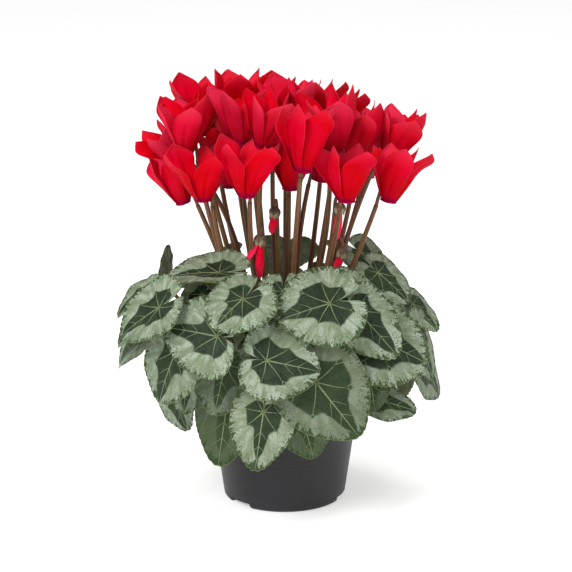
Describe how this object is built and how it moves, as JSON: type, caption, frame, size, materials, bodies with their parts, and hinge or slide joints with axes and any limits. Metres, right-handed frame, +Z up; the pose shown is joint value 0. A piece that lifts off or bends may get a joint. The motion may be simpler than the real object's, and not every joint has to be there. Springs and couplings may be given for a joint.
{
  "type": "potted cyclamen",
  "caption": "Red cyclamen in a round tapered grower's pot: heart-shaped silver-marked leaves and upswept blooms on bare stalks.",
  "frame": {"origin": "the middle of the plant's bounding box, on the surface the pot stands on; the pot's axis stands 4.35 mm to its right and 13.87 mm behind it", "axes": "+Z up along the pot's axis, -Y towards the front of the plant as pictured, +X to its right"},
  "size_m": [0.2446, 0.2392, 0.3302],
  "materials": {
    "pot": "satin",
    "soil": "rough",
    "stalks": "matte",
    "leaves": "matte",
    "petals": "matte",
    "buds": "matte"
  },
  "bodies": {
    "root": {"pot": "pot", "soil": "soil", "stems": "stalks", "leaf_01": "leaves", "leaf_02": "leaves", "leaf_03": "leaves", "leaf_04": "leaves", "leaf_05": "leaves", "leaf_06": "leaves", "leaf_07": "leaves", "leaf_08": "leaves", "leaf_09": "leaves", "leaf_10": "leaves", "leaf_11": "leaves", "leaf_12": "leaves", "leaf_13": "leaves", "leaf_14": "leaves", "leaf_15": "leaves", "leaf_16": "leaves", "leaf_17": "leaves", "leaf_18": "leaves", "leaf_19": "leaves", "leaf_20": "leaves", "leaves_right": "leaves", "leaves_left": "leaves", "leaves_back_left": "leaves", "leaves_back": "leaves", "leaves_back_right": "leaves", "bloom_01": "petals", "bloom_02": "petals", "bloom_03": "petals", "bloom_04": "petals", "bloom_05": "petals", "bloom_06": "petals", "bloom_07": "petals", "bloom_08": "petals", "bloom_09": "petals", "bloom_10": "petals", "bloom_11": "petals", "bloom_12": "petals", "bloom_13": "petals", "bloom_14": "petals", "bloom_15": "petals", "bloom_16": "petals", "bloom_17": "petals", "bloom_18": "petals", "bloom_19": "petals", "bloom_20": "petals", "bloom_21": "petals", "bloom_22": "petals", "bloom_23": "petals", "bloom_24": "petals", "bloom_25": "petals", "bloom_26": "petals", "bloom_27": "petals", "bloom_28": "petals", "bud_01": "buds", "bud_02": "buds", "bud_03": "buds", "bud_04": "buds"}
  },
  "joints": []
}
